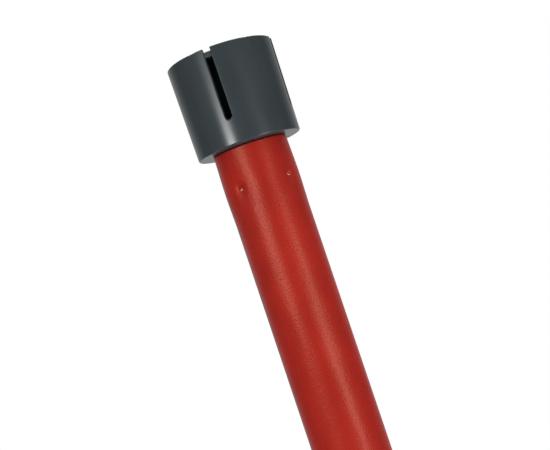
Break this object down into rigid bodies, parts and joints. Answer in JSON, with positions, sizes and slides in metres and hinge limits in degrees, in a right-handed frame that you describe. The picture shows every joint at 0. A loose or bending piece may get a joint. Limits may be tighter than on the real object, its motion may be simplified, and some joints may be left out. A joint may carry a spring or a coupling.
{
  "type": "post driver",
  "caption": "Slim tubular driver for fence rods: a weighted red steel barrel with a slotted dark grey moulded guide cup on its mouth.",
  "frame": {"origin": "centre of the flat closed end that the driver stands on", "axes": "+Z along the barrel towards the open mouth; the slots of the mouth cup lie on X and Y"},
  "size_m": [0.0548, 0.0548, 0.6583],
  "materials": {
    "red_powder_coat": "fine orange-peel powder coat, semi-gloss",
    "grey_nylon": "smooth moulded dark grey nylon, satin",
    "bare_steel": "turned bare steel",
    "natural_nylon": "turned natural nylon",
    "black_rubber": "matte moulded rubber"
  },
  "bodies": {
    "barrel": {"barrel_tube": "red_powder_coat", "end_plate": "red_powder_coat", "shock_disc": "black_rubber", "drive_weight": "bare_steel", "strike_cup": "bare_steel", "strike_pad": "natural_nylon", "spring_pin": "red_powder_coat", "mouth_cup": "grey_nylon"},
    "guide_disc": {"guide_disc": "grey_nylon"}
  },
  "joints": [
    {"name": "guide_disc_lift", "type": "slide", "parent": "barrel", "child": "guide_disc", "axis": [0, 0, 1], "range_m": [0, 0.03]}
  ]
}
